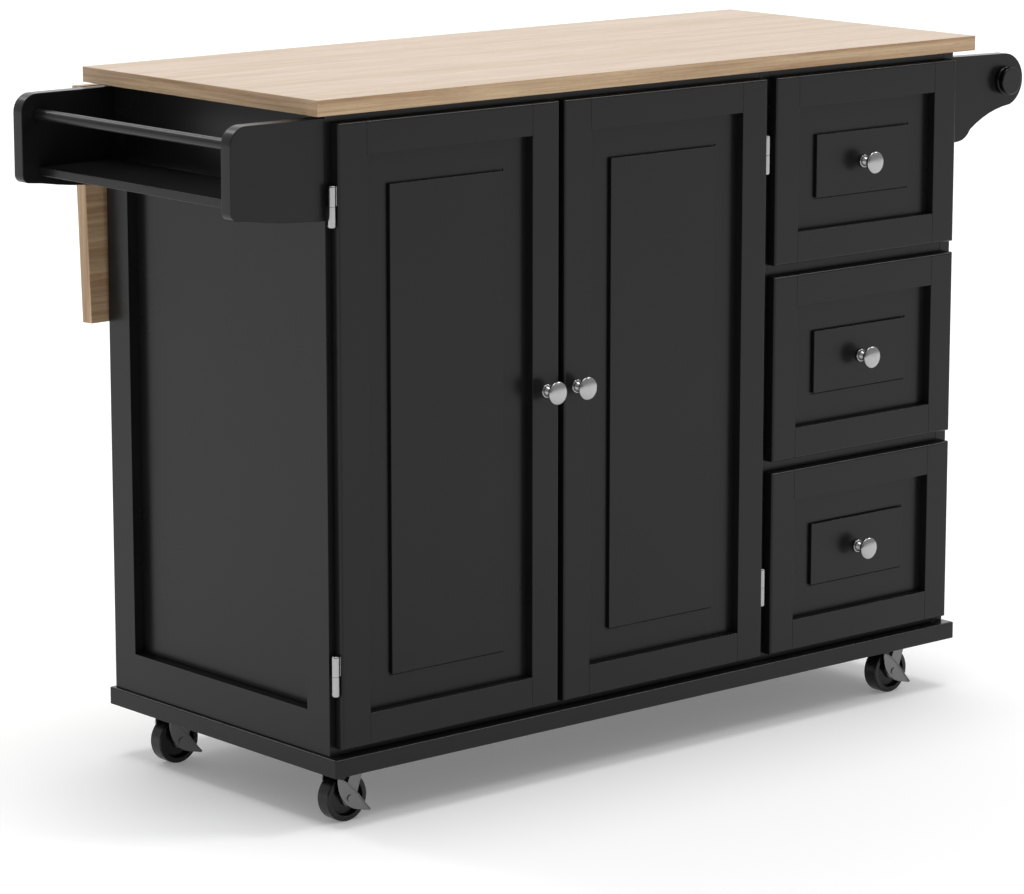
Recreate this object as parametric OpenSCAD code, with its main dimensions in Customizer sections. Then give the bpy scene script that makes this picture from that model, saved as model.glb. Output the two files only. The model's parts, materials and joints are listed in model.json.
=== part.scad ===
// Drop leaf kitchen island on four braked casters: two panelled doors, three drawers, a spice
// rack with a towel bar on the left and a paper towel holder on the right. Millimetres.
// X runs left to right along the front, Y from front to back, Z up. The origin is on the floor,
// under the middle of the whole island's outline.

/* [Overall] */
// Height of the worktop above the floor
total_h = 915; // [860:1:960]
// Width of the carcass
body_w = 1095; // [990:1:1220]
// Depth of the carcass
body_d = 455; // [430:1:520]
// Thickness of the worktop and of its leaf
top_t = 20; // [16:1:30]
// How far the worktop stands out at each end of the carcass
top_end_overhang = 24.5; // [18:0.5:60]
// How far the worktop stands in front of the carcass
top_front_overhang = 17.9; // [17.9:0.1:24]
// How far the worktop stands out behind the carcass, where the leaf's hinges are
top_back_overhang = 14.1; // [14.1:0.1:20]

/* [Base] */
// How far the base moulding stands out at each end of the carcass
base_end_overhang = 5; // [2.5:0.5:16]
// How far the base moulding stands out behind the carcass
base_back_overhang = 7.1; // [5:0.1:12]
// Height of the base moulding
base_h = 23.5; // [18:0.5:28]
// Thickness of the moulding, front to back
moulding_t = 18; // [14:1:20]
// Thickness of the board that the casters are screwed to
base_board_t = 12; // [9:1:14]
// Size of the eased upper edge of the moulding
moulding_ease = 2; // [1:0.5:4]

/* [Carcass] */
// Thickness of the side frames
side_t = 20; // [18:1:24]
// Width of the side frames' stiles
side_stile_w = 44.5; // [38:0.5:60]
// Height of the side frames' rails
side_rail_h = 53; // [40:1:70]
// Thickness of the thin side panels
side_panel_t = 5; // [3:1:8]
// Thickness of the back frame
back_t = 18; // [16:1:22]
// Thickness of the back panel
back_panel_t = 6; // [4:1:8]
// Height of the rail under the worktop, at the front
top_rail_h = 35; // [28:1:45]
// Height of the rail under the doors
bottom_rail_h = 32; // [26:1:40]
// Thickness of the front rails, front to back
rail_t = 18; // [15:1:22]
// Height of the rails between the drawers
drawer_rail_h = 21; // [18:1:24]
// Thickness of the cabinet floor
floor_t = 15; // [12:1:20]
// Thickness of the wall between the cupboard and the drawers
divider_t = 18; // [16:1:20]
// Thickness of the shelf in the cupboard
shelf_t = 16; // [12:1:20]
// Height of the shelf's underside above the cabinet floor
shelf_rise = 365; // [250:1:450]
// Diameter of the shelf pins
shelf_pin_d = 5; // [4:1:7]

/* [Fronts] */
// Height of the fronts' lower edge above the base moulding
front_rise = 10; // [8:0.5:16]
// Gap between the fronts and the worktop
front_head_gap = 10.4; // [8:0.1:16]
// How far the fronts stop short of the carcass's sides
front_inset = 9; // [8:0.5:11]
// Width of the strip of carcass that shows between the right door and the drawers
middle_gap = 16.5; // [10:0.5:24]
// Gap between the two doors
door_gap = 9; // [3:0.5:12]
// Width of the drawer fronts
drawer_w = 341.5; // [330:0.5:344]
// Gap between one drawer front and the next
drawer_gap = 15.2; // [12:0.1:17]
// Thickness of doors and drawer fronts
front_t = 14.5; // [13:0.5:16]
// Gap between the closed fronts and the carcass
front_back_gap = 0.9; // [0.5:0.1:2]
// Width of the doors' stiles
door_stile_w = 44.5; // [35:0.5:60]
// Height of the doors' rails
door_rail_h = 41; // [35:1:60]
// Width of the drawer fronts' stiles and rails
drawer_stile_w = 42; // [32:1:55]
// Depth of the sunk panel behind the front plane
panel_recess = 12; // [9:0.5:12]
// How far the raised field stands off the sunk panel
field_rise = 5.5; // [3:0.5:7]
// Width of the sunk border round the raised field
field_border = 41; // [30:1:50]
// Radius of the fronts' outer edges
front_edge_r = 3; // [1:0.5:4]

/* [Drawers] */
// Thickness of the drawer boxes' walls
drawer_wall_t = 12; // [10:1:15]
// Thickness of the drawer bottoms
drawer_bottom_t = 5; // [4:1:8]
// Height of the drawer boxes
drawer_box_h = 170; // [120:1:172]
// Length of the drawer boxes
drawer_box_l = 390; // [350:1:400]
// Height of a drawer box above its front's lower edge
drawer_box_rise = 38; // [36:1:40]
// Space for a runner on each side of a drawer box
runner_gap = 12.7; // [12.7:0.1:14]
// Height of the runners
runner_h = 35; // [30:1:45]
// Sheet thickness of the runners
runner_sheet_t = 1.5; // [1:0.1:2]
// Height of the runners above the drawer box's underside
runner_rise = 20; // [10:1:40]

/* [Knobs] */
// Diameter of the knob's head
knob_d = 30; // [24:1:36]
// How far a knob stands off its front
knob_l = 26; // [22:1:32]
// Diameter of the knob's rosette
knob_base_d = 17.5; // [14:0.5:20]
// Height of the door knobs above the floor
door_knob_z = 516; // [400:1:700]
// Distance from a door's free edge to its knob
door_knob_inset = 21; // [18:1:24]

/* [Door hinges] */
// Diameter of the hinge barrels
barrel_d = 9.4; // [8:0.1:9.6]
// Length of the hinge barrels
barrel_l = 52.5; // [40:0.5:70]
// Distance from the door's edge to the hinge axis
barrel_out = 5; // [4.9:0.1:6]
// Depth of the hinge axis behind the front plane
barrel_back = 7; // [6:0.1:8]
// Height of the upper hinges' middle below the doors' top
hinge_from_top = 101.5; // [60:0.5:160]
// Height of the lower hinges' middle above the doors' foot
hinge_from_foot = 94.5; // [60:0.5:160]
// Diameter of the hinge pins
door_pin_d = 4; // [3:0.1:5]

/* [Drop leaf] */
// Length of the leaf from its hinges to its free edge
leaf_l = 308; // [300:1:340]
// Angle at which the leaf hangs in towards the cabinet
leaf_lean = 2.55; // [1:0.05:2.8]
// Depth of the leaf's hinge axis below the worktop's underside
leaf_pin_drop = 3.5; // [3.5:0.1:5]
// Distance of the leaf's hinge axis behind the worktop
leaf_pin_back = 1; // [0.5:0.1:2]
// Distance of the leaf's edge from its hinge axis
leaf_setback = 2; // [1.5:0.1:4]
// Diameter of the leaf hinges' knuckles
leaf_knuckle_d = 6.4; // [6:0.1:6.8]
// Diameter of the leaf hinges' pins
leaf_pin_d = 3; // [2.5:0.1:3.5]
// Length of the leaf hinges along their pins
leaf_hinge_l = 70; // [50:1:90]
// Width of the leaf hinges' plates
leaf_plate_d = 30; // [24:1:40]
// Thickness of the leaf hinges' plates
leaf_plate_t = 2; // [1.5:0.1:2.5]
// Distance from the outer leaf hinges to the worktop's ends
leaf_hinge_inset = 150; // [100:1:250]
// Distance between the two folding props, centre to centre
prop_spacing = 640; // [500:1:760]
// Length of a folding prop between its pivot and its tip's centre
prop_l = 165; // [150:1:170]
// Width of the folding props
prop_w = 14; // [12:1:16]
// Sheet thickness of the folding props
prop_t = 4; // [3:0.5:6]
// Distance of the props' pivots off the back panel
prop_standoff = 9; // [8.5:0.1:10]
// Width of the props' brackets
bracket_w = 28; // [24:1:40]
// Height of the props' brackets
bracket_h = 44; // [36:1:60]
// Thickness of the brackets' plates
bracket_t = 1.5; // [1:0.1:3]
// Diameter of the props' pivot pins
prop_pin_d = 6; // [5:0.5:7]
// Angle of a propped-up prop from upright
prop_angle = 45; // [40:1:50]

/* [Spice rack] */
// How far the rack stands out from the carcass
rack_reach = 142; // [120:1:160]
// Thickness of the rack's brackets
rack_bracket_t = 19; // [15:1:22]
// Height of the gap between the brackets and the worktop
rack_head_gap = 4.5; // [3:0.5:8]
// Height of the brackets at the carcass
rack_h = 125.5; // [110:0.5:140]
// How much higher the brackets' lower edge is at its outer end
rack_rise = 12; // [0:1:20]
// Radius of the brackets' upper outer corner
rack_top_r = 24; // [10:1:35]
// Radius of the brackets' lower outer corner
rack_foot_r = 10; // [5:1:15]
// Length of the rise from the brackets' underside to their rounded lower corners
rack_foot_run = 30; // [20:1:40]
// Length of the level underside of the brackets, next to the carcass
rack_root_run = 40; // [30:1:60]
// Diameter of the towel bar
bar_d = 14.5; // [12:0.5:20]
// Distance of the towel bar from the brackets' outer ends
bar_inset = 25; // [20:1:35]
// Depth of the towel bar below the brackets' upper edge
bar_drop = 26.5; // [24:0.5:40]
// Depth of the blind holes that hold the towel bar
bar_seat = 10; // [6:1:12]
// Thickness of the rack's shelf
rack_shelf_t = 11; // [9:1:14]
// Depth of the shelf's upper face below the brackets' upper edge
rack_shelf_drop = 93.5; // [80:0.5:96]

/* [Paper towel holder] */
// Distance from the carcass to the towel rod's axis
rod_reach = 103.5; // [90:0.5:120]
// Radius of the arms' round nose
nose_r = 37; // [34:1:42]
// Thickness of the arms
arm_t = 18; // [15:1:20]
// Height of the gap between the arms and the worktop
arm_head_gap = 9.4; // [6:0.1:12]
// Height of the arms at the carcass
arm_h = 118.6; // [105:0.1:130]
// Distance between the two arms
arm_space = 300; // [280:1:350]
// Diameter of the paper towel rod
rod_d = 18; // [14:1:24]
// Depth of the rod's seat in the back arm
rod_seat = 10; // [8:1:12]
// Diameter of the rod's end cap
cap_d = 38; // [34:1:44]
// How far the end cap stands off the front arm
cap_l = 15; // [12:1:20]

/* [Casters] */
// Diameter of the wheels
wheel_d = 62.5; // [56:0.5:63]
// Width of the wheels
wheel_w = 22.5; // [20:0.5:24]
// Distance from the swivel axis to the wheel's axle
caster_trail = 23.3; // [20:0.1:28]
// Distance from the base's ends to the swivel axes
caster_end_inset = 67.2; // [60:0.1:120]
// Distance from the base's front to the front swivel axes
caster_front_inset = 43.6; // [43:0.1:80]
// Distance from the base's back to the rear swivel axes
caster_back_inset = 81.8; // [60:0.1:120]
// Side of the square mounting plates
plate_side = 46; // [42:1:48]
// Thickness of the mounting plates
plate_t = 2; // [1.5:0.5:3]
// Sheet thickness of the forks
fork_t = 2; // [1.5:0.5:2.5]
// Diameter of the axles
axle_d = 6; // [5:0.5:8]
// Diameter of the king pins
king_pin_d = 8; // [6:0.5:9]
// Sheet thickness of the brake levers
lever_t = 1.6; // [1.2:0.1:2]

/* [Hidden] */

// Play between a pin and its bore, and between two faces that pass each other
pin_play = 0.05;
face_play = 0.3;
$fn = 48;

// Colours
black_paint = [0.13, 0.13, 0.135];
oak = [0.80, 0.66, 0.50];
nickel = [0.70, 0.69, 0.67];
zinc = [0.45, 0.45, 0.45];
dark_plastic = [0.04, 0.04, 0.045];

// Worktop and carcass, left to right
body_cx = (rack_reach - rod_reach - nose_r) / 2;
body_x0 = body_cx - body_w / 2;
body_x1 = body_cx + body_w / 2;
top_x0 = body_x0 - top_end_overhang;
top_x1 = body_x1 + top_end_overhang;
base_x0 = body_x0 - base_end_overhang;
base_x1 = body_x1 + base_end_overhang;
base_w = base_x1 - base_x0;
inner_x0 = body_x0 + side_t;
inner_x1 = body_x1 - side_t;

// Leaf's hinge axis and outline, measured from the worktop's front edge
top_d = top_front_overhang + body_d + top_back_overhang;
pin_y_rel = top_d + leaf_pin_back;
leaf_reach_y = pin_y_rel + (leaf_pin_drop + top_t) * cos(leaf_lean) - leaf_setback * sin(leaf_lean);
knob_reach_y = top_front_overhang - front_back_gap - front_t - knob_l;

// Front to back
top_y0 = -(leaf_reach_y + knob_reach_y) / 2;
top_y1 = top_y0 + top_d;
body_y0 = top_y0 + top_front_overhang;
body_y1 = body_y0 + body_d;
rail_y1 = body_y0 + rail_t;
back_y0 = body_y1 - back_t;
back_face_y = back_y0 + back_panel_t;
door_y1 = body_y0 - front_back_gap;
front_y = door_y1 - front_t;
sunk_y = front_y + panel_recess;
field_y = sunk_y - field_rise;
base_y0 = top_y0;
base_y1 = body_y1 + base_back_overhang;
base_d = base_y1 - base_y0;

// Floor to worktop
top_z0 = total_h - top_t;
caster_headroom = 7;
base_z0 = wheel_d + caster_headroom;
base_z1 = base_z0 + base_h;
board_z0 = base_z1 - base_board_t;
front_z0 = base_z1 + front_rise;
front_z1 = top_z0 - front_head_gap;
floor_z1 = base_z1 + bottom_rail_h;
top_rail_z0 = top_z0 - top_rail_h;
side_rail_z1 = base_z1 + side_rail_h;
side_rail_z2 = top_z0 - side_rail_h;

// Doors and drawers
door_w = (body_w - 2 * front_inset - door_gap - middle_gap - drawer_w) / 2;
door1_x0 = body_x0 + front_inset;
door1_x1 = door1_x0 + door_w;
door2_x0 = door1_x1 + door_gap;
door2_x1 = door2_x0 + door_w;
drawer_x1 = body_x1 - front_inset;
drawer_x0 = drawer_x1 - drawer_w;
divider_cx = (door2_x1 + drawer_x0) / 2;
divider_x0 = divider_cx - divider_t / 2;
divider_x1 = divider_cx + divider_t / 2;
drawer_h = (front_z1 - front_z0 - 2 * drawer_gap) / 3;
drawer_step = drawer_h + drawer_gap;
function drawer_z(i) = front_z0 + i * drawer_step;
box_x0 = divider_x1 + runner_gap;
box_x1 = inner_x1 - runner_gap;
hinge_z = [front_z0 + hinge_from_foot, front_z1 - hinge_from_top];
hinge_y = front_y + barrel_back;
hinge1_x = door1_x0 - barrel_out;
hinge2_x = door2_x1 + barrel_out;
mortise_t = 1.5;
mortise_w = 9;
shelf_z0 = floor_z1 + shelf_rise;
shelf_setback = 4;
shelf_y0 = rail_y1 + shelf_setback;
pin_bore = 8;
shelf_pin_y = [body_y0 + side_stile_w - 12, body_y1 - side_stile_w + 12];

// Leaf, hinges and props
pin_y = top_y0 + pin_y_rel;
pin_z = top_z0 - leaf_pin_drop;
leaf_hinge_x = [top_x0 + leaf_hinge_inset, body_cx, top_x1 - leaf_hinge_inset];
prop_x = [body_cx - prop_spacing / 2, body_cx + prop_spacing / 2];
prop_y = back_face_y + prop_standoff;
prop_tip_z = top_z0 - prop_w / 2 - face_play;
prop_z = prop_tip_z - prop_l * cos(prop_angle);
prop_tip_out = prop_y + prop_l * sin(prop_angle) - pin_y;
lug_t = 2;
lug_gap = 0.3;
pin_head = 1;
stop_w = 24;
stop_l = 8;
stop_h = 2.5;
stop_clearance = 1;

// Spice rack and towel holder
rack_z1 = top_z0 - rack_head_gap;
bar_x = body_x0 - rack_reach + bar_inset;
bar_z = rack_z1 - bar_drop;
rack_shelf_z1 = rack_z1 - rack_shelf_drop;
arm_z1 = top_z0 - arm_head_gap;
rod_x = body_x1 + rod_reach;
nose_drop = 2;
rod_z = arm_z1 - nose_r - nose_drop;
back_arm_y = body_y0 + arm_t + arm_space;

// Casters
caster_x = [base_x0 + caster_end_inset, base_x1 - caster_end_inset];
caster_y = [base_y0 + caster_front_inset, base_y1 - caster_back_inset];
axle_z = wheel_d / 2;
fork_inner = wheel_w / 2 + 1.25;
fork_outer = fork_inner + fork_t;
lever_inner = fork_outer + 0.5;
lever_outer = lever_inner + lever_t;
crown_z1 = base_z0 + 2.5;
crown_z0 = crown_z1 - fork_t;
race_z0 = crown_z1 + face_play;
plate_z0 = board_z0 - plate_t;

// Points on a circle's arc, from one angle to another
function arc(c, r, a0, a1, n) = [
  for (i = [0:n]) let (a = a0 + (a1 - a0) * i / n) [c[0] + r * cos(a), c[1] + r * sin(a)]
];

// Points from p towards q on an arc that bulges to the left by the given height; q is left out
function bow(p, q, rise, n) =
  let (d = q - p, l = norm(d), m = (p + q) / 2, nx = -d[1] / l, ny = d[0] / l,
       r = (l * l / 4 + rise * rise) / (2 * rise), c = m + (rise - r) * [nx, ny],
       half = asin(l / 2 / abs(r)), a = atan2(ny, nx) + (rise < 0 ? 180 : 0), s = sign(rise))
  [for (i = [0:n - 1]) let (t = a + s * half * (1 - 2 * i / n))
    [c[0] + abs(r) * cos(t), c[1] + abs(r) * sin(t)]];

// A box between two opposite corners
module block(a, b) translate(a) cube(b - a);

// A plate with an outline drawn in X and Z, between two depths
module upright(y0, y1) translate([0, y1, 0]) rotate([90, 0, 0]) linear_extrude(y1 - y0) children();

// A plate with an outline drawn in Y and Z, between two places along X
module crosswise(x0, x1)
  translate([x0, 0, 0]) rotate([90, 0, 90]) linear_extrude(x1 - x0) children();

// A slab whose outer edges are rounded on its front face
module front_blank(x0, x1, z0, z1) {
  r = front_edge_r;
  intersection() {
    linear_extrude(z1) polygon(concat(
      arc([x0 + r, front_y + r], r, 180, 270, 5), arc([x1 - r, front_y + r], r, 270, 360, 5),
      [[x1, door_y1], [x0, door_y1]]));
    crosswise(x0, x1) polygon(concat(
      arc([front_y + r, z0 + r], r, 270, 180, 5), arc([front_y + r, z1 - r], r, 180, 90, 5),
      [[door_y1, z1], [door_y1, z0]]));
  }
}

// Two stiles and two rails, cut from one rounded slab
module front_frame(x0, x1, z0, z1, stile, rail) {
  big = front_t + 2;
  for (x = [x0, x1 - stile]) intersection() {
    front_blank(x0, x1, z0, z1);
    block([x, front_y - 1, z0 - 1], [x + stile, front_y - 1 + big, z1 + 1]);
  }
  for (z = [z0, z1 - rail]) intersection() {
    front_blank(x0, x1, z0, z1);
    block([x0 + stile, front_y - 1, z], [x1 - stile, front_y - 1 + big, z + rail]);
  }
}

// The sunk panel with its raised field
module front_panel(x0, x1, z0, z1, stile, rail) {
  b = field_border;
  union() {
    block([x0 + stile, sunk_y, z0 + rail], [x1 - stile, door_y1, z1 - rail]);
    block([x0 + stile + b, field_y, z0 + rail + b], [x1 - stile - b, sunk_y + 1, z1 - rail - b]);
  }
}

// A mushroom knob that stands on a face at the given depth
module knob(x, y, z) {
  h = knob_l;
  translate([x, y, z]) rotate([90, 0, 0]) rotate_extrude() polygon(concat(
    [[0, 0], [knob_base_d / 2, 0], [knob_base_d / 2, 1.6], [knob_base_d / 2 - 1.8, 3.2]],
    bow([knob_base_d / 2 - 3.6, 4.4], [knob_d * 0.3, h - 13.5], -3.2, 6),
    bow([knob_d * 0.3, h - 13.5], [knob_d / 2, h - 7.5], -1.2, 4),
    bow([knob_d / 2, h - 7.5], [knob_d * 0.32, h - 1], -2.2, 5),
    bow([knob_d * 0.32, h - 1], [0, h], -0.4, 3),
    [[0, h]]));
}

/* Carcass */
module worktop() color(oak) block([top_x0, top_y0, top_z0], [top_x1, top_y1, total_h]);

// Two stiles and two rails, glued up as one, round the opening for the thin panel
module side_frame(x0) difference() {
  block([x0, body_y0, base_z1], [x0 + side_t, body_y1, top_z0]);
  block([x0 - 1, body_y0 + side_stile_w, side_rail_z1],
        [x0 + side_t + 1, body_y1 - side_stile_w, side_rail_z2]);
}

// Shallow pockets for the cabinet side of the door hinges
module hinge_mortises(x, s) for (z = hinge_z)
  block([x - (s > 0 ? 1 : mortise_w), body_y0 - 1, z - barrel_l / 2],
        [x + (s > 0 ? mortise_w : 1), body_y0 + mortise_t, z]);

// Blind holes for the shelf pins in a wall whose inner face is at x
module shelf_pin_bores(x, s) for (y = shelf_pin_y)
  translate([x - s * pin_bore, y, shelf_z0 - shelf_pin_d / 2]) rotate([0, s * 90, 0])
    cylinder(h = pin_bore + 1, r = shelf_pin_d / 2 + pin_play);

module side_frame_left() color(black_paint) difference() {
  side_frame(body_x0);
  hinge_mortises(hinge1_x, 1);
  shelf_pin_bores(inner_x0, 1);
}

module side_frame_right() color(black_paint) side_frame(inner_x1);

module side_panels() color(black_paint) for (x = [inner_x0 - side_panel_t, inner_x1])
  block([x, body_y0 + side_stile_w, side_rail_z1],
        [x + side_panel_t, body_y1 - side_stile_w, side_rail_z2]);

// Rails of the cabinet's front: one under the doors, two under the worktop, two between drawers
module face_frame() color(black_paint) {
  block([inner_x0, body_y0, base_z1], [inner_x1, rail_y1, floor_z1]);
  block([inner_x0, body_y0, top_rail_z0], [divider_x0, rail_y1, top_z0]);
  block([divider_x1, body_y0, top_rail_z0], [inner_x1, rail_y1, top_z0]);
  for (i = [1, 2]) {
    z = drawer_z(i) - (drawer_gap + drawer_rail_h) / 2;
    block([divider_x1, body_y0, z], [inner_x1, rail_y1, z + drawer_rail_h]);
  }
}

module back_frame() color(black_paint) difference() {
  block([inner_x0, back_y0, base_z1], [inner_x1, body_y1, top_z0]);
  block([inner_x0 + side_stile_w, back_y0 - 1, side_rail_z1],
        [inner_x1 - side_stile_w, body_y1 + 1, side_rail_z2]);
  for (x = leaf_hinge_x)
    block([x - leaf_hinge_l / 2 - face_play, top_y1 - leaf_plate_d - face_play,
           top_z0 - leaf_plate_t - face_play],
          [x + leaf_hinge_l / 2 + face_play, body_y1 + 1, top_z0 + 1]);
}

module back_panel() color(black_paint)
  block([inner_x0 + side_stile_w, back_y0, side_rail_z1],
        [inner_x1 - side_stile_w, back_face_y, side_rail_z2]);

module cabinet_floor() color(black_paint)
  block([inner_x0, rail_y1, floor_z1 - floor_t], [inner_x1, back_y0, floor_z1]);

module base_board() color(black_paint)
  block([base_x0 + moulding_t, base_y0 + moulding_t, board_z0],
        [base_x1 - moulding_t, base_y1 - moulding_t, base_z1]);

// A bar from a to b with both of its upper edges eased
module moulding_outline(a, b) {
  e = moulding_ease;
  polygon(concat([[a, base_z0]], arc([a + e, base_z1 - e], e, 180, 90, 4),
    arc([b - e, base_z1 - e], e, 90, 0, 4), [[b, base_z0]]));
}

// A ring of moulding round the base board
module base_moulding() color(black_paint) difference() {
  intersection() {
    crosswise(base_x0, base_x1) moulding_outline(base_y0, base_y1);
    upright(base_y0, base_y1) moulding_outline(base_x0, base_x1);
  }
  block([base_x0 + moulding_t, base_y0 + moulding_t, base_z0 - 1],
        [base_x1 - moulding_t, base_y1 - moulding_t, base_z1 + 1]);
}

module divider() color(black_paint) difference() {
  block([divider_x0, body_y0, floor_z1], [divider_x1, back_y0, top_z0]);
  hinge_mortises(hinge2_x, -1);
  shelf_pin_bores(divider_x0, -1);
}

module cupboard_shelf() color(black_paint)
  block([inner_x0 + 1, shelf_y0, shelf_z0], [divider_x0 - 1, back_y0 - 1, shelf_z0 + shelf_t]);

module shelf_pins() color(zinc) for (y = shelf_pin_y, side = [[inner_x0, 1], [divider_x0, -1]])
  translate([side[0] - side[1] * (pin_bore - 0.5), y, shelf_z0 - shelf_pin_d / 2])
    rotate([0, side[1] * 90, 0]) cylinder(h = 2 * pin_bore, r = shelf_pin_d / 2);

// Outline of a runner's channel, open towards -X, with its back at x = 0
module channel_outline() {
  t = runner_sheet_t;
  w = runner_gap - 3.2;
  polygon([[0, 0], [0, runner_h], [-w, runner_h], [-w, runner_h - 8], [t - w, runner_h - 8],
    [t - w, runner_h - t], [-t, runner_h - t], [-t, t], [t - w, t], [t - w, 8], [-w, 8], [-w, 0]]);
}

// Channels fixed to the divider and to the right side
module drawer_runners() color(zinc) for (i = [0:2]) {
  z = drawer_z(i) + drawer_box_rise + runner_rise;
  y1 = door_y1 + drawer_box_l;
  translate([inner_x1, 0, z]) upright(rail_y1, y1) channel_outline();
  translate([divider_x1, 0, z]) mirror([1, 0, 0]) upright(rail_y1, y1) channel_outline();
}

/* Hinges of the doors, the leaf and its props */
// Half a hinge barrel with a rounded outer end; s = -1 is the lower half
module half_barrel(s) {
  r = barrel_d / 2;
  h = barrel_l / 2 - (s > 0 ? face_play : 0);
  translate([0, 0, s > 0 ? face_play : 0]) mirror([0, 0, s > 0 ? 0 : 1]) rotate_extrude()
    polygon(concat([[0, 0], [r, 0]], arc([r - 2.5, h - 2.5], 2.5, 0, 90, 5), [[0, h]]));
}

// Lower knuckles with their pins, and plates let into the cabinet's front
module door_hinge_plates() color(nickel) for (side = [[hinge1_x, 1], [hinge2_x, -1]], z = hinge_z)
  translate([side[0], hinge_y, z]) union() {
    half_barrel(-1);
    cylinder(h = barrel_l / 2 - 4, r = door_pin_d / 2);
    block([-0.8, 0, -barrel_l / 2 + 3], [0.8, body_y0 + mortise_t - hinge_y, 0]);
    mirror([side[1] > 0 ? 0 : 1, 0, 0])
      block([-0.8, body_y0 - hinge_y, -barrel_l / 2 + 1],
            [mortise_w - 1, body_y0 + mortise_t - hinge_y, -0.5]);
  }

// Upper knuckles and the plates on the doors' edges; s = 1 where the door lies at +X
module door_hinges(x, s) color(nickel) for (z = hinge_z)
  translate([x, hinge_y, z]) mirror([s > 0 ? 0 : 1, 0, 0]) difference() {
    union() {
      half_barrel(1);
      block([0, -0.8, 3], [barrel_out, 0.8, barrel_l / 2 - 3]);
      block([barrel_out - 1.2, -4, 1], [barrel_out, front_t - barrel_back - 1, barrel_l / 2 - 1]);
    }
    translate([0, 0, -1]) cylinder(h = barrel_l / 2 - 2, r = door_pin_d / 2 + pin_play);
  }

module door_hinges_left() door_hinges(hinge1_x, 1);
module door_hinges_right() door_hinges(hinge2_x, -1);

// Everything in here is drawn hanging upright from the leaf's hinge axis, at the origin
module hang() translate([0, pin_y, pin_z]) rotate([-leaf_lean, 0, 0]) children();

module drop_leaf() color(oak) hang()
  block([top_x0, leaf_pin_drop, -leaf_setback - leaf_l],
        [top_x1, leaf_pin_drop + top_t, -leaf_setback]);

// A knuckle along X, split in thirds: the outer two on the worktop, the middle one on the leaf
module knuckle(x0, x1) translate([x0, 0, 0]) rotate([0, 90, 0])
  cylinder(h = x1 - x0, r = leaf_knuckle_d / 2);

module leaf_hinge_plates() color(zinc) for (x = leaf_hinge_x) translate([x, pin_y, pin_z]) {
  h = leaf_hinge_l / 2;
  third = leaf_hinge_l / 6;
  union() {
    for (s = [-1, 1]) {
      knuckle(s > 0 ? third + face_play : -h, s > 0 ? h : -third - face_play);
      block([s > 0 ? third + face_play : -h, -leaf_plate_d - leaf_pin_back, leaf_pin_drop - leaf_plate_t],
            [s > 0 ? h : -third - face_play, 0, leaf_pin_drop]);
    }
    block([-h, -leaf_plate_d - leaf_pin_back, leaf_pin_drop - leaf_plate_t],
          [h, -leaf_knuckle_d / 2 - 1.5, leaf_pin_drop]);
    translate([-h, 0, 0]) rotate([0, 90, 0]) cylinder(h = leaf_hinge_l, r = leaf_pin_d / 2);
  }
}

module leaf_hinges() color(zinc) hang() for (x = leaf_hinge_x) translate([x, 0, 0]) {
  h = leaf_hinge_l / 2;
  third = leaf_hinge_l / 6;
  difference() {
    union() {
      knuckle(-third, third);
      block([-third, leaf_pin_drop - leaf_plate_t, -leaf_plate_d], [third, leaf_pin_drop, 0]);
      block([-h, leaf_pin_drop - leaf_plate_t, -leaf_plate_d],
            [h, leaf_pin_drop, -leaf_knuckle_d / 2 - 1.5]);
    }
    translate([-third - 1, 0, 0]) rotate([0, 90, 0])
      cylinder(h = 2 * third + 2, r = leaf_pin_d / 2 + pin_play);
  }
}

// Blocks under the leaf that keep the props' tips from sliding out
module leaf_stops() color(zinc) hang() for (x = prop_x)
  let (z = -prop_tip_out - prop_w / 2 - stop_clearance)
    block([x - stop_w / 2, leaf_pin_drop - stop_h, z - stop_l], [x + stop_w / 2, leaf_pin_drop, z]);

// Brackets with two lugs each and a pivot pin, on the back panel
module prop_brackets() color(zinc) for (x = prop_x) translate([x, prop_y, prop_z]) {
  w = prop_t / 2 + lug_gap;
  r = prop_w / 2 - 1;
  union() {
    block([-bracket_w / 2, -prop_standoff, -bracket_h / 2],
          [bracket_w / 2, -prop_standoff + bracket_t, bracket_h / 2]);
    for (s = [-1, 1]) translate([s > 0 ? w : -w - lug_t, 0, 0]) {
      rotate([0, 90, 0]) cylinder(h = lug_t, r = r);
      block([0, -prop_standoff, -r], [lug_t, 0, r]);
    }
    translate([-w - lug_t - pin_head, 0, 0]) rotate([0, 90, 0])
      cylinder(h = 2 * (w + lug_t + pin_head), r = prop_pin_d / 2);
  }
}

// A flat steel prop with round ends, hanging from its pivot
module prop(x) color(zinc) translate([x, prop_y, prop_z]) difference() {
  union() {
    for (z = [0, -prop_l]) translate([-prop_t / 2, 0, z]) rotate([0, 90, 0])
      cylinder(h = prop_t, r = prop_w / 2);
    block([-prop_t / 2, -prop_w / 2, -prop_l], [prop_t / 2, prop_w / 2, 0]);
  }
  translate([-prop_t, 0, 0]) rotate([0, 90, 0])
    cylinder(h = 2 * prop_t, r = prop_pin_d / 2 + pin_play);
}

module prop_left() prop(prop_x[0]);
module prop_right() prop(prop_x[1]);

/* Spice rack */
// Seen from the front, with the carcass at its right
module rack_outline() {
  x0 = body_x0 - rack_reach;
  z0 = rack_z1 - rack_h;
  z1 = z0 + rack_rise;
  polygon(concat(
    [[body_x0, rack_z1]], arc([x0 + rack_top_r, rack_z1 - rack_top_r], rack_top_r, 90, 180, 8),
    arc([x0 + rack_foot_r, z1 + rack_foot_r], rack_foot_r, 180, 262, 6),
    bow([x0 + rack_foot_run, z1 - 2], [body_x0 - rack_root_run, z0 + 1.5], -1, 3), [[body_x0, z0]]));
}

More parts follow.
